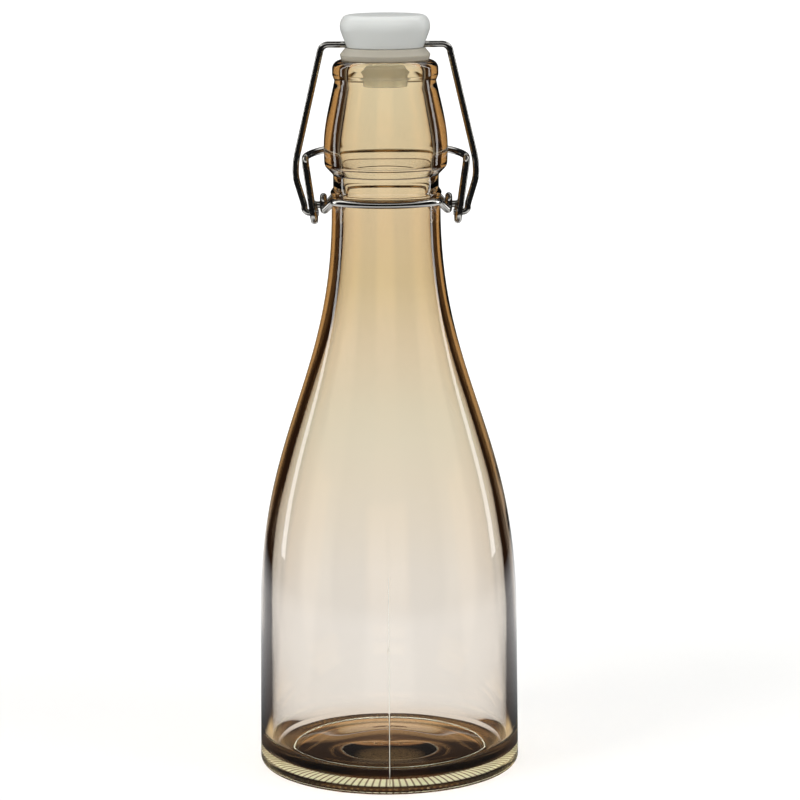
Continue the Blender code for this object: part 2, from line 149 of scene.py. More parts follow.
WAVES_PER_METRE = 26                # up the wall, so one in 38 mm
WAVE_START = 4.0
WAVE_FOOT = 10.0 * MM               # the heel below this is even
WAVE_FOOT_EASE = 20.0 * MM
WAVE_TOP = 12.0 * MM                # and so is the mouth, this far down, eased over as much

# Wires and closure
RING_WIRE = 2.1 * MM
LEVER_WIRE = 2.1 * MM
BAIL_WIRE = 1.9 * MM
WIRE_ROUNDNESS = 8
BEND_FULLNESS = 0.98
RING_HEIGHT = BEAD_HEIGHT - 2.1 * MM
PIVOT_HEIGHT = RING_HEIGHT - 1.7 * MM
CRANK_HEIGHT = PIVOT_HEIGHT - 2.4 * MM
OVER_CENTRE = 0.4 * MM
RING_RADIUS = NECK_RADIUS + GAP + RING_WIRE / 2
RING_STEPS = 40
ARCH_RADIUS = (RING_WIRE + LEVER_WIRE) / 2 + GAP
EAR_RADIUS = RING_RADIUS + 2.1 * MM - RING_WIRE / 2
EAR_HALF_LENGTH = 8.0 * MM
EAR_LEG_DROP = 1.2 * MM
EAR_RUN = 2.2 * MM
EAR_RUN_LEAN = 0.4 * MM
EAR_FILLET = 1.2 * MM
EYE_RADIUS = 2.4 * MM
EYE_FILLET = 1.15 * MM
EYE_X = RING_RADIUS + 3.75 * MM
LEVER_X = RING_RADIUS + 6.4 * MM
LEVER_CORNER_FILLET = 2.4 * MM
HANDLE_RISE = 13.8 * MM
HANDLE_TILT = math.radians(5)
HANDLE_CORNER_ANGLE = math.radians(9)
HANDLE_GAP = 0.5 * MM
HANDLE_STEPS = 39
LEG_DRAW = 1.5 * MM
LEG_DRAW_RISE = 3.4 * MM
LEG_FILLET = 8.0 * MM
LEVER_PIN_LENGTH = 4.4 * MM

# Stopper, gasket and bail
CAP_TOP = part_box("stopper")[1].z
CAP_TOP_RADIUS = 12.0 * MM
CAP_TOP_FILLET = 2.4 * MM
CAP_RADIUS = 13.7 * MM
CAP_RIM_DROP = 3.0 * MM
CAP_RIM_FILLET = 4.4 * MM
CAP_FOOT_RADIUS = 11.2 * MM
CAP_FOOT_FILLET = 0.5 * MM
GASKET_FOOT = LIP_TOP + GAP
GASKET_THICKNESS = 3.0 * MM
GASKET_TOP = GASKET_FOOT + GASKET_THICKNESS
GASKET_RADIUS = 13.3 * MM
GASKET_TOP_RADIUS = 11.7 * MM
GASKET_RIM_RISE = 1.35 * MM
GASKET_FOOT_DRAW = 0.4 * MM
GASKET_FILLET = 0.4 * MM
GASKET_BORE_RADIUS = 7.4 * MM
SQUEEZED = 0.02 * MM                # room left where the gasket presses on cap and lip
CAP_FOOT = GASKET_TOP + GAP
PLUG_CONE_RADIUS = MOUTH_RADIUS - 1.7 * MM
PLUG_RIM_THICKNESS = 0.9 * MM
PLUG_RIM_FILLET = 0.4 * MM
PLUG_CONE_DEPTH = 4.6 * MM
PLUG_RADIUS = PLUG_CONE_RADIUS - 2.85 * MM
PLUG_DEPTH = 8.2 * MM
PLUG_FILLET = 0.7 * MM
BAR_HEIGHT = CAP_FOOT + 0.9 * MM
BAR_HOLE_SEGMENTS = 48
BAIL_CORNER_REACH = 4.9 * MM
BAIL_CORNER_FILLET = 2.4 * MM
BAIL_WIDE_X = LEVER_X + (LEVER_WIRE + BAIL_WIRE) / 2 + 0.75 * MM
BAIL_WIDE_RISE = 12.6 * MM
BAIL_WIDE_FILLET = 20.0 * MM
BAIL_DRAW_RISE = 8.0 * MM
BAIL_DRAW_FILLET = 10.0 * MM
BAIL_HOOK_RISE = 2.3 * MM
BAIL_HOOK_FILLET = 4.0 * MM
BAIL_HOOK_EASE = 0.65 * MM
BAIL_PIN_FILLET = 1.5 * MM
BAIL_PIN_PROUD = 0.25 * MM

# Finishes: colours, and the real size of each pattern
MELT_COLOUR = "#C99D3F"             # what the glass lets through, by its thickness
MELT_DENSITY = 50.0
TINT_FOOT = 50.0 * MM               # the skin's faint tint runs between these two heights
TINT_TOP = 210.0 * MM
TINT_STOPS = (
    (0.0, "#FFFFFE"), (0.19, "#FFFCF4"), (0.34, "#FDFBF0"), (0.49, "#FBF4E4"), (0.61, "#F5ECD4"),
    (0.72, "#F7EDD7"), (0.91, "#FDF9E7"),
)
RIPPLE_SIZE = 16.67 * MM            # slow ripples that blowing leaves in a wall
STEEL_COLOUR = "#BDBBB6"
WEAR_SIZE = 1.111 * MM              # handling dulls polished wire in small patches
WEAR_LOW = 0.3
WEAR_HIGH = 0.7
STEEL_ROUGHNESS = 0.08
WORN_ROUGHNESS = 0.16
PLASTIC_COLOUR = "#D8DAD7"
GRAIN_SIZE = 0.714 * MM             # a mould's fine grain, drawn coarser than real so that it shows
SILICONE_COLOUR = "#C3BDAE"
BLOOM_SIZE = 1.429 * MM             # cloudy patches of the bloom on silicone

# Camera
CAMERA_HEIGHT = 279.3 * MM
CAMERA_DISTANCE = 923.0 * MM
CAMERA_PITCH = math.radians(10.34)
CAMERA_ROLL = math.radians(-0.37)
CAMERA_LENS_MM = 141.26
CAMERA_SENSOR_MM = 36.0
CAMERA_SHIFT = 0.0158
CAMERA_CLIP = 50.0

# Floor
FLOOR_RADIUS = 8.0
FLOOR_SEGMENTS = 64
FLOOR_PAINT = "#B6B6B4"
NEAR_LIFT = 0.48                    # own light of the floor where it is seen, so that it looks white
FAR_LIFT = 0.75                     # and keeps a soft shadow beside the bottle
LIFT_START = 0.15                   # distances between which the one turns into the other
LIFT_FULL = 0.60
WARM_START = 0.20                   # distance along the floor at which it turns warm
WARM_FULL = 0.60
PATCH_REACH = 41.0 * MM             # painted shadow and painted pool of light on the floor under the bottle
PATCH_SHIFT = 3.5 * MM              # its middle lies this far to the front
PATCH_EDGE = 0.95                   # share of that reach at which the white floor begins
POOL_REACH = 36.0 * MM              # from painted shadow, dark brown, in front to a painted pool of tinted light at the back
PAINTED_POOL_STOPS = ((0.0, "#1C110A"), (0.62, "#2E2015"), (0.76, "#8A6848"), (0.90, "#DCB88E"))
NEAR_REACH = 160.0 * MM             # painted light and painted shade on the floor round the bottle, by share of this distance
NEAR_PAINTED_LIGHT_STOPS = (
    (0.28, "#FFECCC"), (0.37, "#F4D8A4"), (0.44, "#6E563E"), (0.52, "#7A6854"), (1.0, "#FFFFFF"),
)
MIRRORED_REACH = 450.0 * MM         # painted shade on the floor as mirrors see it, by share of this distance
MIRRORED_PAINTED_SHADE_STOPS = ((0.13, 0.08), (0.45, 1.0), (0.62, 1.0), (0.95, 0.012))

# Surroundings
LIGHT_AT_HORIZON = 0.38
LIGHT_AT_ZENITH = 1.15
FLAG_START = 0.30                   # |sin 2a| / 2 at the flags' edge, where a is the angle from the axes
FLAG_FULL = 0.38
CEILING_STOPS = ((0.08, 0.0), (0.11, 1.0), (0.20, 1.0), (0.25, 0.0))    # dark part, by sine of elevation
INSIDE_CEILING_STOPS = ((0.20, 0.0), (0.26, 1.0), (0.52, 1.0), (0.60, 0.0))     # and after a turn in glass
MIRRORED_CEILING = "#3C3A38"
CEILING_BROWN = "#2E2013"
ROOM_WHITE = "#FFFFFF"
ROOM_WARM = "#E3B981"               # the far side of the studio, which glass shows by inner reflection
FLAG_BROWN = "#2C1A0C"
SIDE_LIGHT_IN_GLASS = 1.3           # light that reaches dull surfaces through the glass
TOP_LIGHT_IN_GLASS = 14.0
TOP_LIGHT_START = 0.55              # sines of elevation between which the one turns into the other
TOP_LIGHT_FULL = 0.75
ROOM_RADIUS = 0.7
ROOM_HEIGHT = 1.4
ROOM_SEGMENTS = 96
WALL_LEVEL = 0.012
BAND_LEVEL = 1.2
BAND_STOPS = ((0.47, 0.0), (0.54, 1.0), (0.64, 1.0), (0.72, 0.15))      # by share of the room's height
STRIP_ANGLE = math.radians(70)      # from the back, to either side
STRIP_HALF_ANGLE = math.radians(2.5)
STRIP_SOFTNESS = 1.6
STRIP_LEVEL = 4.0
LAMPS = (                           # name, place, width, power in watts
    ("key_left", (-0.9, -0.7, 0.9), 0.5, 7.0),
    ("fill_right", (1.0, -0.5, 0.7), 0.5, 4.0),
)
LAMP_SLIMNESS = 1.6                 # height by width
LAMP_AIM = (0.0, 0.0, 0.12)


def linear(hex_colour):
    """An sRGB hex colour as linear RGBA."""
    values = [int(hex_colour[i:i + 2], 16) / 255 for i in (1, 3, 5)]
    return (*(v / 12.92 if v <= 0.04045 else ((v + 0.055) / 1.055) ** 2.4 for v in values), 1.0)


def add(tree, kind, inputs=None, stops=(), **settings):
    """A new node with its settings.

    inputs maps a socket to a value or to another node's output, and stops are a ramp's places and colours.
    """
    node = tree.nodes.new(kind)
    for index, (place, colour) in enumerate(stops):
        elements = node.color_ramp.elements
        stop = elements[index] if index < 2 else elements.new(1.0)
        stop.position = place
        stop.color = linear(colour) if isinstance(colour, str) else (colour, colour, colour, 1.0)
    for name, value in settings.items():
        setattr(node, name, value)
    for socket, value in (inputs or {}).items():
        if isinstance(value, bpy.types.NodeSocket):
            tree.links.new(value, node.inputs[socket])
        else:
            node.inputs[socket].default_value = value
    return node


def new_material(name):
    """An empty material and its node tree."""
    material = bpy.data.materials.new(name)
    material.use_nodes = True
    material.node_tree.nodes.clear()
    return material, material.node_tree


def rounded(corners, step=BEND_STEP):
    """Points of a path through corners given as (*place, fillet radius), each corner rounded."""
    places = [Vector(corner[:-1]) for corner in corners]
    points = [places[0]]
    for index in range(1, len(corners) - 1):
        corner, radius = places[index], corners[index][-1]
        inward = (places[index - 1] - corner).normalized()
        outward = (places[index + 1] - corner).normalized()
        half = inward.angle(outward) / 2
        turn = math.pi - 2 * half
        if radius <= 0 or turn < STRAIGHT:
            points.append(corner)
            continue
        bisector = (inward + outward).normalized()
        centre = corner + bisector * (radius / math.sin(half))
        first = corner + inward * (radius / math.tan(half)) - centre
        last = corner + outward * (radius / math.tan(half)) - centre
        count = max(2, math.ceil(turn / step))
        for k in range(count + 1):
            share = k / count
            blend = first * math.sin((1 - share) * turn) + last * math.sin(share * turn)
            points.append(centre + blend / math.sin(turn))
    points.append(places[-1])
    return points


def bezier(start, start_handle, end_handle, end, count):
    """Points along a cubic curve, both ends included."""
    points = []
    for k in range(count + 1):
        t = k / count
        s = 1 - t
        points.append(
            Vector(start) * s ** 3
            + Vector(start_handle) * 3 * s * s * t
            + Vector(end_handle) * 3 * s * t * t
            + Vector(end) * t ** 3
        )
    return points


def turned(outline, steps):
    """Solid of revolution about Z from an outline of (radius, height) points, top to bottom.

    A quarter is spun and then doubled twice, which is quicker than a full turn.
    """
    bm = bmesh.new()
    verts = [bm.verts.new((point[0], 0.0, point[1])) for point in outline]
    edges = [bm.edges.new(pair) for pair in zip(verts, verts[1:])]
    if outline[0][0] > 0:
        edges.append(bm.edges.new((verts[-1], verts[0])))
    bmesh.ops.spin(
        bm, geom=verts + edges, axis=(0, 0, 1), cent=(0, 0, 0), angle=math.pi / 2, steps=steps // 4,
    )
    bmesh.ops.remove_doubles(bm, verts=bm.verts, dist=MERGE)
    for quarters in (1, 2):
        copy = bmesh.ops.duplicate(bm, geom=bm.verts[:] + bm.edges[:] + bm.faces[:])
        copied = [item for item in copy["geom"] if isinstance(item, bmesh.types.BMVert)]
        turn = Matrix.Rotation(quarters * math.pi / 2, 3, "Z")
        bmesh.ops.rotate(bm, cent=(0, 0, 0), matrix=turn, verts=copied)
        bmesh.ops.remove_doubles(bm, verts=bm.verts, dist=MERGE)
    bmesh.ops.recalc_face_normals(bm, faces=bm.faces)
    return bm


def finish_mesh(name, bm, material):
    """The object of a finished bmesh, smooth but for its sharp edges."""
    mesh = bpy.data.meshes.new(name)
    bm.to_mesh(mesh)
    bm.free()
    mesh.shade_smooth()
    mesh.set_sharp_from_angle(angle=SHARP)
    mesh.materials.append(material)
    obj = bpy.data.objects.new(name, mesh)
    bpy.context.scene.collection.objects.link(obj)
    return obj


def bottle_outline():
    """Outer side from the lip down to the base, then the inner side up to the mouth."""
    lip = rounded([
        (MOUTH_RADIUS, LIP_TOP, 0),
        (MOUTH_RADIUS + LIP_FLAT, LIP_TOP, 0),
        (LIP_RADIUS, LIP_TOP, LIP_FILLET),
        (LIP_RADIUS, LIP_TOP - LIP_THICKNESS, LIP_FOOT_FILLET),
        (GROOVE_RADIUS, GROOVE_HEIGHT, 0),
    ])
    bulge_top = bezier(
        (GROOVE_RADIUS, GROOVE_HEIGHT),
        (GROOVE_RADIUS + GROOVE_FLARE, GROOVE_HEIGHT - GROOVE_REACH),
        (BULGE_RADIUS, BULGE_HEIGHT + BULGE_REACH),
        (BULGE_RADIUS, BULGE_HEIGHT),
        BULGE_STEPS,
    )
    neck = rounded([
        (BULGE_RADIUS, BULGE_HEIGHT, 0),
        (BULGE_RADIUS - BULGE_TAPER, BULGE_FOOT_HEIGHT + BULGE_FOOT_FILLET, BULGE_FOOT_FILLET),
        (UPPER_NECK_RADIUS, BULGE_FOOT_HEIGHT, BULGE_ROOT_FILLET),
        (UPPER_NECK_RADIUS, BEAD_HEIGHT + BEAD_THICKNESS / 2, 0),
        (BEAD_RADIUS, BEAD_HEIGHT, BEAD_FILLET),
        (NECK_RADIUS, BEAD_HEIGHT - BEAD_THICKNESS / 2, 0),
    ])
    shoulder = bezier(
        (NECK_RADIUS, SHOULDER_TOP),
        (NECK_RADIUS, SHOULDER_TOP - SHOULDER_TOP_REACH),
        (BODY_TOP_RADIUS, BODY_TOP_HEIGHT + SHOULDER_LOW_REACH),
        (BODY_TOP_RADIUS, BODY_TOP_HEIGHT),
        SHOULDER_STEPS,
    )
    seam_foot = SEAM_FOOT / BODY_TOP_HEIGHT
    side = rounded([
        (BODY_TOP_RADIUS, BODY_TOP_HEIGHT, 0),
        (BODY_RADIUS + (BODY_TOP_RADIUS - BODY_RADIUS) * seam_foot, SEAM_FOOT, 0),
        (BODY_RADIUS, 0.0, HEEL_FILLET),
        (FOOT_INNER, 0.0, 0),
    ])
    punt = bezier(
        (FOOT_INNER, 0.0),
        (FOOT_INNER, PUNT_DEPTH / 2),
        (FOOT_INNER / 2, PUNT_DEPTH),
        (0.0, PUNT_DEPTH),
        FLOOR_STEPS,
    )
    dome = bezier(
        (0.0, FLOOR_MIDDLE),
        (DOME_RADIUS / 2, FLOOR_MIDDLE),
        (DOME_RADIUS / 2, FLOOR_RIM),
        (DOME_RADIUS, FLOOR_RIM),
        FLOOR_STEPS,
    )
    inner_side = rounded([
        (DOME_RADIUS, FLOOR_RIM, 0),
        (RIM_LINE_RADIUS, FLOOR_RIM + RIM_LINE_HEIGHT, 0),
        (DOME_RADIUS + RIM_LINE_WIDTH, FLOOR_RIM, 0),
        (BODY_RADIUS - BODY_WALL, FLOOR_RIM, FLOOR_FILLET),
        (BODY_TOP_RADIUS - BODY_WALL, BODY_TOP_HEIGHT, 0),
    ])
    inner_shoulder = bezier(
        (BODY_TOP_RADIUS - BODY_WALL, BODY_TOP_HEIGHT),
        (BODY_TOP_RADIUS - BODY_WALL, BODY_TOP_HEIGHT + SHOULDER_LOW_REACH),
        (NECK_RADIUS - NECK_WALL, SHOULDER_TOP - SHOULDER_TOP_REACH),
        (NECK_RADIUS - NECK_WALL, SHOULDER_TOP),
        INNER_SHOULDER_STEPS,
    )
    bore = rounded([
        (NECK_RADIUS - NECK_WALL, SHOULDER_TOP, 0),
        (NECK_RADIUS - NECK_WALL, BULGE_FOOT_HEIGHT, BORE_FILLET),
        (BULGE_RADIUS - BULGE_WALL, BULGE_HEIGHT, BORE_FILLET),
        (MOUTH_RADIUS, LIP_TOP - MOUTH_DEPTH, BORE_FILLET),
        (MOUTH_RADIUS, LIP_TOP, 0),
    ], step=BORE_STEP)
    outer = lip + bulge_top[1:] + neck[1:] + shoulder + side[1:] + punt[1:]
    inner = dome + inner_side[1:] + inner_shoulder[1:] + bore[1:-1]
    return outer + inner


def cut_along_seam(bm, half_width):
    """Three loops through the mould's parting plane, from which a seam is drawn out."""
    for offset in (-half_width, 0.0, half_width):
        bmesh.ops.bisect_plane(
            bm, geom=bm.verts[:] + bm.edges[:] + bm.faces[:], dist=MERGE,
            plane_co=(offset, 0, 0), plane_no=(1, 0, 0),
        )


def make_glass(material):
    """Blown bottle, with its mould seam, knurled foot and slightly uneven inner wall."""
    bm = turned(bottle_outline(), KNURLS * STEPS_PER_KNURL)
    cut_along_seam(bm, SEAM_HALF_WIDTH)
    bm.normal_update()
    for vert in bm.verts:
        height = vert.co.z
        radius = math.hypot(vert.co.x, vert.co.y)
        if radius < MERGE:
            continue
        radial = Vector((vert.co.x / radius, vert.co.y / radius, 0.0))
        facing = vert.normal.dot(radial)
        if facing > FACING and abs(vert.co.x) < SEAM_CREST and height > SEAM_START:
            vert.co += radial * SEAM_HEIGHT * (1.0 if height < SEAM_FADE_HEIGHT else SEAM_TRACE)
        wave_top = LIP_TOP - WAVE_TOP
        if facing < -FACING and WAVE_FOOT < height < wave_top:
            swell = noise.noise(Vector((
                radial.x * WAVES_ROUND, radial.y * WAVES_ROUND, height * WAVES_PER_METRE + WAVE_START,
            )))
            fade = min(1.0, (height - WAVE_FOOT) / WAVE_FOOT_EASE, (wave_top - height) / WAVE_TOP)
            vert.co += radial * WALL_WAVE * swell * fade
        if height < FOOT_SLACK / 2 and FOOT_INNER - FOOT_SLACK < radius < FOOT_OUTER + FOOT_SLACK:
            bar = math.atan2(vert.co.y, vert.co.x) * KNURLS
            vert.co.z += KNURL_DEPTH * (0.5 - 0.5 * math.cos(bar))
    return finish_mesh("bottle_glass", bm, material)


def wire(name, points, diameter, material, closed=False):
    """A drawn wire of round section along points."""
    curve = bpy.data.curves.new(name, "CURVE")
    curve.dimensions = "3D"
    curve.bevel_depth = diameter / 2
    curve.bevel_resolution = WIRE_ROUNDNESS
    curve.use_fill_caps = not closed
    spline = curve.splines.new("POLY")
    spline.points.add(len(points) - 1)
    for target, place in zip(spline.points, points):
        target.co = (*place, 1.0)
        target.radius = 1.0
    spline.use_cyclic_u = closed
    spline.use_smooth = True
    curve.materials.append(material)
    obj = bpy.data.objects.new(name, curve)
    bpy.context.scene.collection.objects.link(obj)
    return obj


def mirrored_both_ways(half):
    """A whole path from its half on +X, which starts on the plane of symmetry."""
    left = [Vector((-point.x, point.y, point.z)) for point in reversed(half[1:])]
    return left + list(half)


def make_neck_ring(steel):
    """Collar round the neck, bent up on each side into an arch over the lever's pin."""
    joins = math.asin(EAR_HALF_LENGTH / RING_RADIUS)
    circle = (RING_RADIUS * math.cos(joins), -EAR_HALF_LENGTH, RING_HEIGHT)
    foot = PIVOT_HEIGHT - EAR_LEG_DROP
    ear = rounded([
        (EAR_RADIUS, 0.0, PIVOT_HEIGHT + ARCH_RADIUS, 0),
        (EAR_RADIUS, -ARCH_RADIUS, PIVOT_HEIGHT + ARCH_RADIUS, ARCH_RADIUS * BEND_FULLNESS),
        (EAR_RADIUS, -ARCH_RADIUS, foot, EAR_FILLET),
        (EAR_RADIUS - EAR_RUN_LEAN, -ARCH_RADIUS - EAR_RUN, foot, EAR_FILLET),
        (*circle, 0),
    ])
    sweep = math.pi / 2 - joins
    front = []
    for k in range(1, RING_STEPS):
        angle = -joins - sweep * k / RING_STEPS
        front.append(Vector((RING_RADIUS * math.cos(angle), RING_RADIUS * math.sin(angle), RING_HEIGHT)))
    quarter = ear[1:] + front
    right = [Vector((p.x, -p.y, p.z)) for p in reversed(quarter)] + [ear[0]] + quarter
    left = [Vector((-p.x, -p.y, p.z)) for p in right]
    front_middle = Vector((0.0, -RING_RADIUS, RING_HEIGHT))
    back_middle = Vector((0.0, RING_RADIUS, RING_HEIGHT))
    path = right + [front_middle] + left + [back_middle]
    return wire("neck_ring_wire", path, RING_WIRE, steel, closed=True)


def make_lever(steel):
    """One wire: the handle behind the bulge, two legs, an eye at each foot and a pin into each ear."""
    corner_height = PIVOT_HEIGHT + HANDLE_RISE
    handle_back = BULGE_RADIUS + HANDLE_GAP + LEVER_WIRE / 2
    leg_y = OVER_CENTRE - EYE_RADIUS
    eye_back = OVER_CENTRE + EYE_RADIUS
    eye_foot = CRANK_HEIGHT - EYE_RADIUS
    handle = []
    for k in range(HANDLE_STEPS + 1):
        angle = math.pi / 2 - (math.pi / 2 - HANDLE_CORNER_ANGLE) * k / HANDLE_STEPS
        away = (handle_back - leg_y) * math.sin(angle)
        height = corner_height + away * math.tan(HANDLE_TILT)
        handle.append(Vector((LEVER_X * math.cos(angle), leg_y + away, height)))
    leg = rounded([
        (*handle[-1], 0),
        (LEVER_X, leg_y, corner_height, LEVER_CORNER_FILLET),
        (LEVER_X - LEG_DRAW, leg_y, PIVOT_HEIGHT + LEG_DRAW_RISE, LEG_FILLET),
        (EYE_X, leg_y, eye_foot, EYE_RADIUS * BEND_FULLNESS),
        (EYE_X, eye_back, eye_foot, EYE_RADIUS * BEND_FULLNESS),
        (EYE_X, eye_back, PIVOT_HEIGHT, EYE_FILLET),
        (EYE_X, 0.0, PIVOT_HEIGHT, EYE_FILLET),
        (EYE_X - LEVER_PIN_LENGTH, 0.0, PIVOT_HEIGHT, 0),
    ])
    return wire("lever_wire", mirrored_both_ways(handle[:-1] + leg), LEVER_WIRE, steel)


def make_bail(steel):
    """One wire: the bar through the cap, two legs sprung outwards and a pin into each eye."""
    hook_x = EYE_X + (BAIL_WIRE + LEVER_WIRE) / 2 + GAP + BAIL_HOOK_EASE
    pin_end = EYE_X - LEVER_WIRE / 2 - BAIL_PIN_PROUD

    def place(x, z, radius):
        """A corner on the plane in which the bail leans, past the lever's centre at its foot."""
        lean = (BAR_HEIGHT - z) / (BAR_HEIGHT - CRANK_HEIGHT)
        return (x, OVER_CENTRE * lean, z, radius)

    half = rounded([
        place(0.0, BAR_HEIGHT, 0),
        place(CAP_RADIUS + BAIL_CORNER_REACH, BAR_HEIGHT, BAIL_CORNER_FILLET),
        place(BAIL_WIDE_X, PIVOT_HEIGHT + BAIL_WIDE_RISE, BAIL_WIDE_FILLET),
        place(BAIL_WIDE_X, PIVOT_HEIGHT + BAIL_DRAW_RISE, BAIL_DRAW_FILLET),
        place(hook_x, CRANK_HEIGHT + BAIL_HOOK_RISE, BAIL_HOOK_FILLET),
        place(hook_x, CRANK_HEIGHT, BAIL_PIN_FILLET),
        place(pin_end, CRANK_HEIGHT, 0),
    ])
    return wire("bail_wire", mirrored_both_ways(half), BAIL_WIRE, steel)


def make_stopper(plastic):
    """Cap, neck inside the gasket and stepped plug in one moulding, bored across for the bail's bar."""
    neck = GASKET_BORE_RADIUS - GAP
    plug_top = GASKET_FOOT - GAP
    outline = rounded([
        (0.0, CAP_TOP, 0),
        (CAP_TOP_RADIUS, CAP_TOP, CAP_TOP_FILLET),
        (CAP_RADIUS, CAP_TOP - CAP_RIM_DROP, CAP_RIM_FILLET),
        (CAP_FOOT_RADIUS, CAP_FOOT, CAP_FOOT_FILLET),
        (neck, CAP_FOOT, 0),
        (neck, plug_top, 0),
        (PLUG_CONE_RADIUS, plug_top, PLUG_RIM_FILLET),
        (PLUG_CONE_RADIUS, plug_top - PLUG_RIM_THICKNESS, PLUG_RIM_FILLET),
        (PLUG_RADIUS, LIP_TOP - PLUG_CONE_DEPTH, PLUG_FILLET),
        (PLUG_RADIUS, LIP_TOP - PLUG_DEPTH, PLUG_FILLET),
        (0.0, LIP_TOP - PLUG_DEPTH, 0),
    ])
    stopper = finish_mesh("stopper_moulding", turned(outline, TURNED_STEPS), plastic)
    hole = bmesh.new()
    bmesh.ops.create_cone(
        hole, cap_ends=True, segments=BAR_HOLE_SEGMENTS,
        radius1=BAIL_WIRE / 2 + GAP, radius2=BAIL_WIRE / 2 + GAP, depth=4 * CAP_RADIUS,
        matrix=Matrix.Translation((0, 0, BAR_HEIGHT)) @ Matrix.Rotation(math.pi / 2, 4, "Y"),
    )
    cutter = finish_mesh("bar_hole", hole, plastic)
    cut = stopper.modifiers.new("bar_hole", "BOOLEAN")
    cut.operation = "DIFFERENCE"
    cut.object = cutter
    bpy.context.view_layer.update()
    finished = stopper.evaluated_get(bpy.context.evaluated_depsgraph_get())
    cut_mesh = bpy.data.meshes.new_from_object(finished)
    stopper.modifiers.clear()
    stopper.data = cut_mesh
    bpy.data.objects.remove(cutter)
    return stopper


def make_gasket(silicone):
    """Washer that fills the space between lip and cap, because the shut closure squeezes it."""
    top = CAP_FOOT - SQUEEZED
    foot = LIP_TOP + SQUEEZED
    outline = rounded([
        (GASKET_BORE_RADIUS, top, 0),
        (GASKET_TOP_RADIUS, top, GASKET_FILLET),
        (GASKET_RADIUS, GASKET_FOOT + GASKET_RIM_RISE, GASKET_FILLET),
        (GASKET_RADIUS - GASKET_FOOT_DRAW, foot, GASKET_FILLET),
        (GASKET_BORE_RADIUS, foot, 0),
    ])
    return finish_mesh("gasket_washer", turned(outline, TURNED_STEPS), silicone)


def stippled_ring_and_painted_glint(tree, axis, radius):
    """How much the stippled ring under the base shows, 0 to 1.

    It is broken into short bars. The stipple is really matt; that it shows only at a grazing look is a
    painted glint.
    """
    share = add(tree, "ShaderNodeMath", {0: radius, 1: BODY_RADIUS}, operation="DIVIDE")
    ring = add(tree, "ShaderNodeValToRGB", {"Fac": share.outputs[0]}, stops=STIPPLE_STOPS)
    low = add(tree, "ShaderNodeMath", {0: axis.outputs["Z"], 1: STIPPLE_TOP}, operation="LESS_THAN")
    # Painted glint: the stipple shows only where Layer Weight's Facing says the look is grazing.
    slant = add(tree, "ShaderNodeLayerWeight", {"Blend": 0.5})
    glint = add(tree, "ShaderNodeMapRange", {
        "Value": slant.outputs["Facing"], "From Min": PAINTED_GLINT_START, "From Max": PAINTED_GLINT_FULL,
    })
    angle = add(tree, "ShaderNodeMath", {0: axis.outputs["Y"], 1: axis.outputs["X"]}, operation="ARCTAN2")
    turns = add(tree, "ShaderNodeMath", {0: angle.outputs[0], 1: STIPPLE_BARS}, operation="MULTIPLY")
    wave = add(tree, "ShaderNodeMath", {0: turns.outputs[0]}, operation="COSINE")
    bars = add(tree, "ShaderNodeMapRange", {
        "Value": wave.outputs[0], "From Min": BAR_START, "From Max": BAR_FULL, "To Min": BAR_GAP_LEVEL,
    })
    shown = ring.outputs["Color"]
    for share in (low.outputs[0], glint.outputs["Result"], bars.outputs["Result"]):
        shown = add(tree, "ShaderNodeMath", {0: shown, 1: share}, operation="MULTIPLY").outputs[0]
    return shown


def seam_painted_highlight(tree, axis, radius):
    """How strong the painted highlight on the mould seam is, 0 to 1: a white hair line up the front and the
    back of the body.
    """
    beside = add(tree, "ShaderNodeMath", {0: axis.outputs["X"]}, operation="ABSOLUTE")
    line = add(tree, "ShaderNodeMapRange", {
        "Value": beside.outputs[0], "From Min": SEAM_CORE, "From Max": SEAM_EDGE,
        "To Min": 1.0, "To Max": 0.0,
    })
    seam_highlight_by_height = add(tree, "ShaderNodeValToRGB", {"Fac": axis.outputs["Z"]}, stops=SEAM_HIGHLIGHT_STOPS)
    outside = add(tree, "ShaderNodeMath", {
        0: radius, 1: BODY_RADIUS - SEAM_DEPTH,
    }, operation="GREATER_THAN")
    shown = line.outputs["Result"]
    for share in (seam_highlight_by_height.outputs["Color"], outside.outputs[0]):
        shown = add(tree, "ShaderNodeMath", {0: shown, 1: share}, operation="MULTIPLY").outputs[0]
    return shown


def rim_painted_highlight(tree, axis, radius):
    """How strong the painted highlight on the fine raised line round the floor is, 0 to 1, on the inside
    only.
    """
    off_line = add(tree, "ShaderNodeMath", {0: radius, 1: RIM_LINE_RADIUS}, operation="SUBTRACT")
    beside = add(tree, "ShaderNodeMath", {0: off_line.outputs[0]}, operation="ABSOLUTE")
    line = add(tree, "ShaderNodeMapRange", {
        "Value": beside.outputs[0], "From Min": RIM_LINE_CORE, "From Max": RIM_LINE_EDGE,
        "To Min": RIM_LINE_HIGHLIGHT, "To Max": 0.0,
    })
    inside = add(tree, "ShaderNodeMath", {0: axis.outputs["Z"], 1: STIPPLE_TOP}, operation="GREATER_THAN")
    low = add(tree, "ShaderNodeMath", {0: axis.outputs["Z"], 1: FLOOR_MIDDLE}, operation="LESS_THAN")
    shown = line.outputs["Result"]
    for share in (inside.outputs[0], low.outputs[0]):
        shown = add(tree, "ShaderNodeMath", {0: shown, 1: share}, operation="MULTIPLY").outputs[0]
    return shown


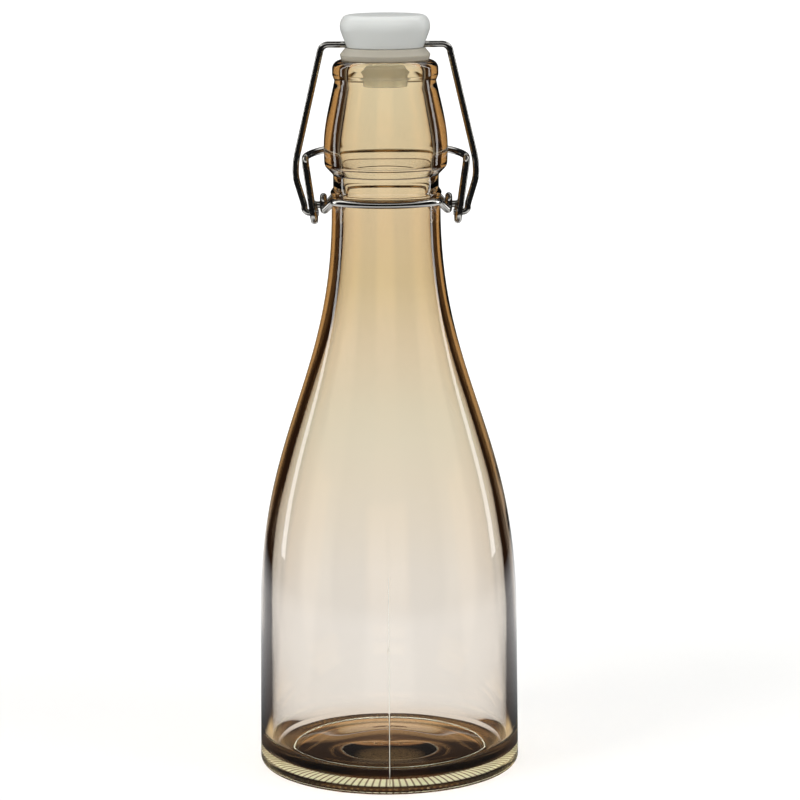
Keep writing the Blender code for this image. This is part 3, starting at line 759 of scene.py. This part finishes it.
def smoke_glass():
    # Soda-lime glass, tinted smoke brown in the melt, blown into a two-part mould and fire-polished.
    # The eye gets a glossy skin without grain and slow ripples that bend what is seen through it. One
    # thin wall is nearly clear; along a wall, and in the heavy base, the tint adds up to amber and
    # dark brown. The stippled ring under the base is matt, with a painted glint where it is seen at a
    # grazing look; the seam and the line round the floor carry a painted highlight, a white line.
    material, tree = new_material("blown_soda_lime_glass_smoke_brown")
    place = add(tree, "ShaderNodeTexCoord")
    ripple = add(tree, "ShaderNodeTexNoise", {
        "Vector": place.outputs["Object"], "Scale": 1 / RIPPLE_SIZE, "Detail": 1.0,
    })
    bump = add(tree, "ShaderNodeBump", {
        "Height": ripple.outputs["Fac"], "Strength": 0.03, "Distance": 2.0 * MM,
    })
    axis = add(tree, "ShaderNodeSeparateXYZ", {"Vector": place.outputs["Object"]})
    flat = add(tree, "ShaderNodeVectorMath", {
        0: place.outputs["Object"], 1: (1, 1, 0),
    }, operation="MULTIPLY")
    radius = add(tree, "ShaderNodeVectorMath", {0: flat.outputs[0]}, operation="LENGTH").outputs["Value"]
    share = add(tree, "ShaderNodeMapRange", {
        "Value": axis.outputs["Z"], "From Min": TINT_FOOT, "From Max": TINT_TOP,
    })
    tint = add(tree, "ShaderNodeValToRGB", {"Fac": share.outputs["Result"]}, stops=TINT_STOPS)
    glass = add(tree, "ShaderNodeBsdfPrincipled", {
        "Base Color": tint.outputs["Color"], "Roughness": 0.0, "IOR": 1.52,
        "Transmission Weight": 1.0, "Normal": bump.outputs["Normal"],
    })
    # Painted highlights: white lines on the seam and on the line round the floor.
    painted_highlight_lines = add(tree, "ShaderNodeMath", {
        0: rim_painted_highlight(tree, axis, radius), 1: seam_painted_highlight(tree, axis, radius),
    }, operation="MAXIMUM")
    # The matt shader is the real matt of the stipple, with its painted glint, and the painted highlight of
    # the lines.
    dull = add(tree, "ShaderNodeMath", {
        0: stippled_ring_and_painted_glint(tree, axis, radius), 1: painted_highlight_lines.outputs[0],
    }, operation="MAXIMUM")
    pale = add(tree, "ShaderNodeMix", {
        0: painted_highlight_lines.outputs[0], 6: linear(STIPPLE_COLOUR), 7: linear(LINE_HIGHLIGHT_COLOUR),
    }, data_type="RGBA")
    matt = add(tree, "ShaderNodeBsdfDiffuse", {"Color": pale.outputs[2]})
    surface = add(tree, "ShaderNodeMixShader", {
        0: dull.outputs[0], 1: glass.outputs["BSDF"], 2: matt.outputs["BSDF"],
    })
    melt = add(tree, "ShaderNodeVolumeAbsorption", {"Color": linear(MELT_COLOUR), "Density": MELT_DENSITY})
    add(tree, "ShaderNodeOutputMaterial", {"Surface": surface.outputs[0], "Volume": melt.outputs["Volume"]})
    return material


def polished_steel():
    # Stainless steel wire, drawn through a die and polished. The eye gets a clear grey mirror with
    # crisp dark and bright stripes along each bend, softened in small patches where hands wear it.
    material, tree = new_material("drawn_steel_wire_polished")
    place = add(tree, "ShaderNodeTexCoord")
    wear = add(tree, "ShaderNodeTexNoise", {
        "Vector": place.outputs["Object"], "Scale": 1 / WEAR_SIZE, "Detail": 3.0,
    })
    rough = add(tree, "ShaderNodeMapRange", {
        "Value": wear.outputs["Fac"], "From Min": WEAR_LOW, "From Max": WEAR_HIGH,
        "To Min": STEEL_ROUGHNESS, "To Max": WORN_ROUGHNESS,
    })
    metal = add(tree, "ShaderNodeBsdfPrincipled", {
        "Base Color": linear(STEEL_COLOUR), "Metallic": 1.0, "Roughness": rough.outputs["Result"],
    })
    add(tree, "ShaderNodeOutputMaterial", {"Surface": metal.outputs["BSDF"]})
    return material


def white_plastic():
    # Polypropylene, injection-moulded with a white pigment. The eye gets a cool white with a broad,
    # satin shine, soft shading where light enters the edges, and a mould's faint grain.
    material, tree = new_material("moulded_polypropylene_white")
    place = add(tree, "ShaderNodeTexCoord")
    grain = add(tree, "ShaderNodeTexNoise", {
        "Vector": place.outputs["Object"], "Scale": 1 / GRAIN_SIZE, "Detail": 2.0,
    })
    bump = add(tree, "ShaderNodeBump", {
        "Height": grain.outputs["Fac"], "Strength": 0.04, "Distance": 0.2 * MM,
    })
    plastic = add(tree, "ShaderNodeBsdfPrincipled", {
        "Base Color": linear(PLASTIC_COLOUR), "Roughness": 0.34, "IOR": 1.49,
        "Subsurface Weight": 0.3, "Subsurface Scale": 2.0 * MM, "Subsurface Radius": (1.0, 0.9, 0.8),
        "Normal": bump.outputs["Normal"],
    })
    add(tree, "ShaderNodeOutputMaterial", {"Surface": plastic.outputs["BSDF"]})
    return material


def milky_silicone():
    # Silicone rubber, compression-moulded without pigment. The eye gets a milky, waxy grey that
    # lets some light through its rim, a dull sheen, and the cloudy bloom of handled rubber.
    material, tree = new_material("moulded_silicone_milky")
    place = add(tree, "ShaderNodeTexCoord")
    bloom = add(tree, "ShaderNodeTexNoise", {
        "Vector": place.outputs["Object"], "Scale": 1 / BLOOM_SIZE, "Detail": 3.0,
    })
    bump = add(tree, "ShaderNodeBump", {
        "Height": bloom.outputs["Fac"], "Strength": 0.08, "Distance": 0.3 * MM,
    })
    rubber = add(tree, "ShaderNodeBsdfPrincipled", {
        "Base Color": linear(SILICONE_COLOUR), "Roughness": 0.42, "IOR": 1.41, "Transmission Weight": 0.25,
        "Subsurface Weight": 0.5, "Subsurface Scale": 3.0 * MM, "Subsurface Radius": (1.0, 0.95, 0.9),
        "Normal": bump.outputs["Normal"],
    })
    add(tree, "ShaderNodeOutputMaterial", {"Surface": rubber.outputs["BSDF"]})
    return material


def ray_kinds(tree):
    """Shares, 0 or 1, that say which kind of look meets the stage.

    They are: straight from the camera; through glass; mirrored by a bare metal; through glass after a
    turn inside it; and the light that dull surfaces gather through glass.
    """
    path = add(tree, "ShaderNodeLightPath")
    through = path.outputs["Is Transmission Ray"]
    not_through = add(tree, "ShaderNodeMath", {0: 1.0, 1: through}, operation="SUBTRACT")
    in_open_air = add(tree, "ShaderNodeMath", {
        0: path.outputs["Transmission Depth"], 1: 0.5,
    }, operation="LESS_THAN")
    mirrored = path.outputs["Is Glossy Ray"]
    for share in (not_through.outputs[0], in_open_air.outputs[0]):
        mirrored = add(tree, "ShaderNodeMath", {0: mirrored, 1: share}, operation="MULTIPLY").outputs[0]
    kinds = [path.outputs["Is Camera Ray"], through, mirrored]
    for depth in ("Glossy Depth", "Diffuse Depth"):
        met = add(tree, "ShaderNodeMath", {0: path.outputs[depth], 1: 0.5}, operation="GREATER_THAN")
        both = add(tree, "ShaderNodeMath", {0: through, 1: met.outputs[0]}, operation="MULTIPLY")
        kinds.append(both.outputs[0])
    return kinds


def side_flags(tree, place):
    """0 in the open, 1 at the dark flags that stand on the diagonals round the bottle; and the height."""
    axis = add(tree, "ShaderNodeSeparateXYZ", {"Vector": place})
    across, along = axis.outputs["X"], axis.outputs["Y"]
    product = add(tree, "ShaderNodeMath", {0: across, 1: along}, operation="MULTIPLY")
    across_square = add(tree, "ShaderNodeMath", {0: across, 1: across}, operation="MULTIPLY")
    square = add(tree, "ShaderNodeMath", {
        0: along, 1: along, 2: across_square.outputs[0],
    }, operation="MULTIPLY_ADD")
    ratio = add(tree, "ShaderNodeMath", {0: product.outputs[0], 1: square.outputs[0]}, operation="DIVIDE")
    slant = add(tree, "ShaderNodeMath", {0: ratio.outputs[0]}, operation="ABSOLUTE")
    edge = add(tree, "ShaderNodeMapRange", {
        "Value": slant.outputs[0], "From Min": FLAG_START, "From Max": FLAG_FULL,
    })
    return edge.outputs["Result"], axis.outputs["Z"]


def backdrop_colour(tree, place):
    """The surroundings as each kind of look sees them; only what is left lights the object."""
    camera, through, mirrored, inside, kept_in = ray_kinds(tree)
    flags, height = side_flags(tree, place)
    outer_ceiling = add(tree, "ShaderNodeValToRGB", {"Fac": height}, stops=CEILING_STOPS)
    inner_ceiling = add(tree, "ShaderNodeValToRGB", {"Fac": height}, stops=INSIDE_CEILING_STOPS)
    ceiling = add(tree, "ShaderNodeMix", {
        0: inside, 6: outer_ceiling.outputs["Color"], 7: inner_ceiling.outputs["Color"],
    }, data_type="RGBA").outputs[2]
    warm_wall = add(tree, "ShaderNodeMix", {
        0: flags, 6: linear(ROOM_WARM), 7: linear(FLAG_BROWN),
    }, data_type="RGBA").outputs[2]
    light = add(tree, "ShaderNodeMapRange", {
        "Value": height, "To Min": LIGHT_AT_HORIZON, "To Max": LIGHT_AT_ZENITH,
    })
    top_light = add(tree, "ShaderNodeMapRange", {
        "Value": height, "From Min": TOP_LIGHT_START, "From Max": TOP_LIGHT_FULL,
        "To Min": SIDE_LIGHT_IN_GLASS, "To Max": TOP_LIGHT_IN_GLASS,
    })
    in_glass = linear(ROOM_WHITE)
    for share, over in (
        (inside, warm_wall),
        (ceiling, linear(CEILING_BROWN)),
        (kept_in, top_light.outputs["Result"]),
    ):
        in_glass = add(tree, "ShaderNodeMix", {0: share, 6: in_glass, 7: over}, data_type="RGBA").outputs[2]
    shown = light.outputs["Result"]
    for share, over in (
        (through, in_glass),
        (mirrored, linear(MIRRORED_CEILING)),
        (camera, linear(ROOM_WHITE)),
    ):
        shown = add(tree, "ShaderNodeMix", {0: share, 6: shown, 7: over}, data_type="RGBA").outputs[2]
    return shown


def painted_pool_under_bottle(tree, place):
    """Painted shadow in front and a painted pool of light at the back, on the floor under the bottle as it
    shows through the glass; white beside it.
    """
    shifted = add(tree, "ShaderNodeVectorMath", {0: place, 1: (0, PATCH_SHIFT, 0)}, operation="ADD")
    away = add(tree, "ShaderNodeVectorMath", {0: shifted.outputs[0]}, operation="LENGTH")
    share = add(tree, "ShaderNodeMath", {0: away.outputs["Value"], 1: PATCH_REACH}, operation="DIVIDE")
    edge = add(tree, "ShaderNodeMapRange", {"Value": share.outputs[0], "From Min": PATCH_EDGE})
    axis = add(tree, "ShaderNodeSeparateXYZ", {"Vector": place})
    depth = add(tree, "ShaderNodeMapRange", {
        "Value": axis.outputs["Y"], "From Min": -POOL_REACH, "From Max": POOL_REACH,
    })
    pool = add(tree, "ShaderNodeValToRGB", {"Fac": depth.outputs["Result"]}, stops=PAINTED_POOL_STOPS)
    return add(tree, "ShaderNodeMix", {
        0: edge.outputs["Result"], 6: pool.outputs["Color"], 7: linear(ROOM_WHITE),
    }, data_type="RGBA").outputs[2]


def make_floor():
    """A plain white floor that keeps the shadow; glass and mirrors see painted light and painted shade on
    it.
    """
    material, tree = new_material("floor_white")
    camera, through, mirrored, inside, kept_in = ray_kinds(tree)
    place = add(tree, "ShaderNodeTexCoord").outputs["Object"]
    flags, _ = side_flags(tree, place)
    distance = add(tree, "ShaderNodeVectorMath", {0: place}, operation="LENGTH").outputs["Value"]
    warmth = add(tree, "ShaderNodeMapRange", {
        "Value": distance, "From Min": WARM_START, "From Max": WARM_FULL,
    })
    near_share = add(tree, "ShaderNodeMath", {0: distance, 1: NEAR_REACH}, operation="DIVIDE")
    near = add(tree, "ShaderNodeValToRGB", {"Fac": near_share.outputs[0]}, stops=NEAR_PAINTED_LIGHT_STOPS)
    # Painted shade on the floor as mirrors see it.
    mirrored_share = add(tree, "ShaderNodeMath", {0: distance, 1: MIRRORED_REACH}, operation="DIVIDE")
    mirrored_painted_shade = add(tree, "ShaderNodeValToRGB", {"Fac": mirrored_share.outputs[0]}, stops=MIRRORED_PAINTED_SHADE_STOPS)
    # Painted light and painted shade on the floor round the bottle, as glass shows it after a turn inside.
    inner_floor = linear(ROOM_WHITE)
    for share, blend, over in (
        (warmth.outputs["Result"], "MIX", linear(ROOM_WARM)),
        (1.0, "MULTIPLY", near.outputs["Color"]),
        (flags, "MIX", linear(FLAG_BROWN)),
    ):
        inner_floor = add(tree, "ShaderNodeMix", {
            0: share, 6: inner_floor, 7: over,
        }, data_type="RGBA", blend_type=blend).outputs[2]
    shown = linear(ROOM_WHITE)
    for share, blend, over in (
        (inside, "MIX", inner_floor),
        (kept_in, "MIX", (SIDE_LIGHT_IN_GLASS, SIDE_LIGHT_IN_GLASS, SIDE_LIGHT_IN_GLASS, 1.0)),
        (1.0, "MULTIPLY", painted_pool_under_bottle(tree, place)),
        (mirrored, "MIX", mirrored_painted_shade.outputs["Color"]),
    ):
        shown = add(tree, "ShaderNodeMix", {
            0: share, 6: shown, 7: over,
        }, data_type="RGBA", blend_type=blend).outputs[2]
    glow = add(tree, "ShaderNodeEmission", {"Color": shown, "Strength": 1.0})
    paint = add(tree, "ShaderNodeBsdfDiffuse", {"Color": linear(FLOOR_PAINT)})
    lift_here = add(tree, "ShaderNodeMapRange", {
        "Value": distance, "From Min": LIFT_START, "From Max": LIFT_FULL,
        "To Min": NEAR_LIFT, "To Max": FAR_LIFT,
    })
    lift_level = add(tree, "ShaderNodeMath", {
        0: camera, 1: lift_here.outputs["Result"],
    }, operation="MULTIPLY")
    lift = add(tree, "ShaderNodeEmission", {"Color": (1, 1, 1, 1), "Strength": lift_level.outputs[0]})
    painted = add(tree, "ShaderNodeAddShader", {0: paint.outputs[0], 1: lift.outputs[0]})
    bent = add(tree, "ShaderNodeMath", {0: through, 1: mirrored}, operation="MAXIMUM")
    seen = add(tree, "ShaderNodeMixShader", {0: bent.outputs[0], 1: painted.outputs[0], 2: glow.outputs[0]})
    add(tree, "ShaderNodeOutputMaterial", {"Surface": seen.outputs[0]})
    bm = bmesh.new()
    bmesh.ops.create_circle(bm, cap_ends=True, segments=FLOOR_SEGMENTS, radius=FLOOR_RADIUS)
    return finish_mesh("floor", bm, material)


def make_reflection_room():
    """A dark round wall with two strip lights and a bright upper band, which only mirrors show."""
    material, tree = new_material("room_wall")
    mirrored = ray_kinds(tree)[2]
    axis = add(tree, "ShaderNodeSeparateXYZ", {"Vector": add(tree, "ShaderNodeTexCoord").outputs["Object"]})
    angle = add(tree, "ShaderNodeMath", {0: axis.outputs["X"], 1: axis.outputs["Y"]}, operation="ARCTAN2")
    aside = add(tree, "ShaderNodeMath", {0: angle.outputs[0]}, operation="ABSOLUTE")
    offset = add(tree, "ShaderNodeMath", {0: aside.outputs[0], 1: STRIP_ANGLE}, operation="SUBTRACT")
    spread = add(tree, "ShaderNodeMath", {0: offset.outputs[0]}, operation="ABSOLUTE")
    strip = add(tree, "ShaderNodeMapRange", {
        "Value": spread.outputs[0], "From Min": STRIP_HALF_ANGLE,
        "From Max": STRIP_HALF_ANGLE * STRIP_SOFTNESS, "To Min": STRIP_LEVEL, "To Max": 0.0,
    })
    share = add(tree, "ShaderNodeMath", {0: axis.outputs["Z"], 1: ROOM_HEIGHT}, operation="DIVIDE")
    band = add(tree, "ShaderNodeValToRGB", {"Fac": share.outputs[0]}, stops=BAND_STOPS)
    upper = add(tree, "ShaderNodeMath", {
        0: band.outputs["Color"], 1: BAND_LEVEL, 2: WALL_LEVEL,
    }, operation="MULTIPLY_ADD")
    level = add(tree, "ShaderNodeMath", {0: strip.outputs["Result"], 1: upper.outputs[0]}, operation="ADD")
    glow = add(tree, "ShaderNodeEmission", {"Color": (1, 1, 1, 1), "Strength": level.outputs[0]})
    clear = add(tree, "ShaderNodeBsdfTransparent")
    shown = add(tree, "ShaderNodeMixShader", {0: mirrored, 1: clear.outputs[0], 2: glow.outputs[0]})
    add(tree, "ShaderNodeOutputMaterial", {"Surface": shown.outputs[0]})
    bm = bmesh.new()
    bmesh.ops.create_cone(
        bm, cap_ends=False, segments=ROOM_SEGMENTS,
        radius1=ROOM_RADIUS, radius2=ROOM_RADIUS, depth=ROOM_HEIGHT,
        matrix=Matrix.Translation((0, 0, ROOM_HEIGHT / 2)),
    )
    wall = finish_mesh("reflection_room", bm, material)
    wall.visible_camera = False
    wall.visible_diffuse = False
    wall.visible_shadow = False
    return wall


def make_lights():
    """The room's own light, and two soft lamps that neither glass nor metal shows."""
    world = bpy.data.worlds.new("soft_room")
    bpy.context.scene.world = world
    world.use_nodes = True
    tree = world.node_tree
    tree.nodes.clear()
    place = add(tree, "ShaderNodeTexCoord").outputs["Generated"]
    room = add(tree, "ShaderNodeBackground", {"Color": backdrop_colour(tree, place), "Strength": 1.0})
    add(tree, "ShaderNodeOutputWorld", {"Surface": room.outputs[0]})
    for name, place, width, power in LAMPS:
        lamp = bpy.data.lights.new(name, "AREA")
        lamp.shape = "RECTANGLE"
        lamp.size = width
        lamp.size_y = width * LAMP_SLIMNESS
        lamp.energy = power
        obj = bpy.data.objects.new(name, lamp)
        obj.location = place
        aim = Vector(LAMP_AIM) - Vector(place)
        obj.rotation_euler = aim.to_track_quat("-Z", "Y").to_euler()
        obj.visible_glossy = False
        obj.visible_transmission = False
        bpy.context.scene.collection.objects.link(obj)


def make_camera():
    """The photograph's view: from the front, a little above the mouth, looking slightly down."""
    camera = bpy.data.cameras.new("camera")
    camera.sensor_width = CAMERA_SENSOR_MM
    camera.lens = CAMERA_LENS_MM
    camera.shift_x = CAMERA_SHIFT
    camera.clip_end = CAMERA_CLIP
    obj = bpy.data.objects.new("camera", camera)
    tilt = Matrix.Rotation(math.pi / 2 - CAMERA_PITCH, 4, "X") @ Matrix.Rotation(CAMERA_ROLL, 4, "Z")
    obj.matrix_world = Matrix.Translation((0, -CAMERA_DISTANCE, CAMERA_HEIGHT)) @ tilt
    bpy.context.scene.collection.objects.link(obj)
    bpy.context.scene.camera = obj


make_camera()
make_lights()
make_floor()
make_reflection_room()
bpy.context.scene.view_settings.view_transform = "Standard"

steel = polished_steel()
bottle = make_glass(smoke_glass())
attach(bottle, "bottle")
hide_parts("glass_bottle")

neck_ring = make_neck_ring(steel)
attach(neck_ring, "ring")
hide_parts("neck_ring")

lever = make_lever(steel)
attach(lever, "lever")
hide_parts("lever")

bail = make_bail(steel)
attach(bail, "bail")
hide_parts("stopper_bail")

stopper = make_stopper(white_plastic())
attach(stopper, "stopper")
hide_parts("stopper")

gasket = make_gasket(milky_silicone())
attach(gasket, "stopper")
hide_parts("gasket")
